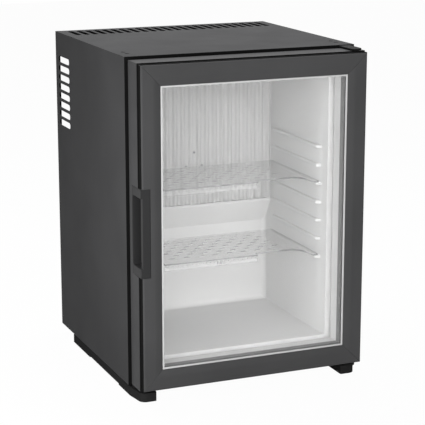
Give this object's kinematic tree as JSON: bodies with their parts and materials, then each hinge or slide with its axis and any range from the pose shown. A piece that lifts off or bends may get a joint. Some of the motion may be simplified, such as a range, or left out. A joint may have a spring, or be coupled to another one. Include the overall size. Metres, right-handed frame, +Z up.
{
  "type": "minibar fridge",
  "caption": "Small free-standing absorption fridge with a hinged glass door, clear shelves, slotted casing and an open cooling unit at the back.",
  "frame": {"origin": "on the floor, under the middle of the fridge's box", "axes": "+X to the right and +Y to the back, seen from the front; +Z up"},
  "size_m": [0.4, 0.42, 0.554],
  "materials": {
    "casing_paint": "satin black paint",
    "galvanised_sheet": "zinc coated sheet",
    "foam": "blown rigid foam",
    "liner_white": "white, low sheen",
    "cover_white": "white, fluted",
    "fastener_steel": "zinc plated",
    "shelf_clear": "clear moulded plastic",
    "rail_plastic": "black, fine grain",
    "hinge_paint": "black paint",
    "pane_glass": "clear float glass",
    "spacer_dark": "dark grey",
    "bead_grey": "light grey, satin",
    "gasket_rubber": "soft black",
    "magnet": "bonded magnet strip",
    "pull_plastic": "moulded, satin black",
    "bush_nylon": "black nylon",
    "unit_paint": "black paint on steel tube",
    "fin_metal": "thin sheet",
    "foam_plug": "moulded bead foam",
    "box_plastic": "black, fine grain",
    "gland_plastic": "black",
    "door_face": "dark grey satin",
    "door_core": "dark grey, satin"
  },
  "bodies": {
    "cabinet": {"side_panel_left": "casing_paint", "side_panel_right": "casing_paint", "top_panel": "casing_paint", "base_pan": "galvanised_sheet", "rear_panel": "galvanised_sheet", "rear_brace": "galvanised_sheet", "insulation_foam": "foam", "inner_liner": "liner_white", "cooling_cover": "cover_white", "cover_screws": "fastener_steel", "shelf_upper": "shelf_clear", "shelf_lower": "shelf_clear", "foot_rail_left": "rail_plastic", "foot_rail_right": "rail_plastic", "rail_screws": "fastener_steel", "upper_hinge": "hinge_paint", "lower_hinge": "hinge_paint", "hinge_bolts": "fastener_steel", "slot_plugs": "rail_plastic", "absorber_coil": "unit_paint", "absorber_vessel": "unit_paint", "generator_can": "galvanised_sheet", "heater_cartridge": "fastener_steel", "condenser_tube": "unit_paint", "condenser_fins": "fin_metal", "heat_exchanger": "unit_paint", "evaporator_plug": "foam_plug", "coil_brackets": "galvanised_sheet", "generator_bracket": "galvanised_sheet", "vessel_bracket": "galvanised_sheet", "control_box": "box_plastic", "control_lid": "box_plastic", "cord_gland": "gland_plastic", "unit_screws": "fastener_steel"},
    "door": {"door_front_top": "door_face", "door_front_bottom": "door_face", "door_front_left": "door_face", "door_front_right": "door_face", "door_rear_top": "door_core", "door_rear_bottom": "door_core", "door_rear_left": "door_core", "door_rear_right": "door_core", "inner_door_trim": "liner_white", "front_pane": "pane_glass", "rear_pane": "pane_glass", "glass_spacer": "spacer_dark", "glazing_bead": "bead_grey", "door_gasket": "gasket_rubber", "magnet_strips": "magnet", "finger_pull": "pull_plastic", "hinge_bushes": "bush_nylon"}
  },
  "joints": [
    {"name": "door_hinge", "type": "hinge", "parent": "cabinet", "child": "door", "pos_m": [0.182, -0.19, 0.285], "axis": [0, 0, 1], "range_deg": [0, 120]}
  ]
}
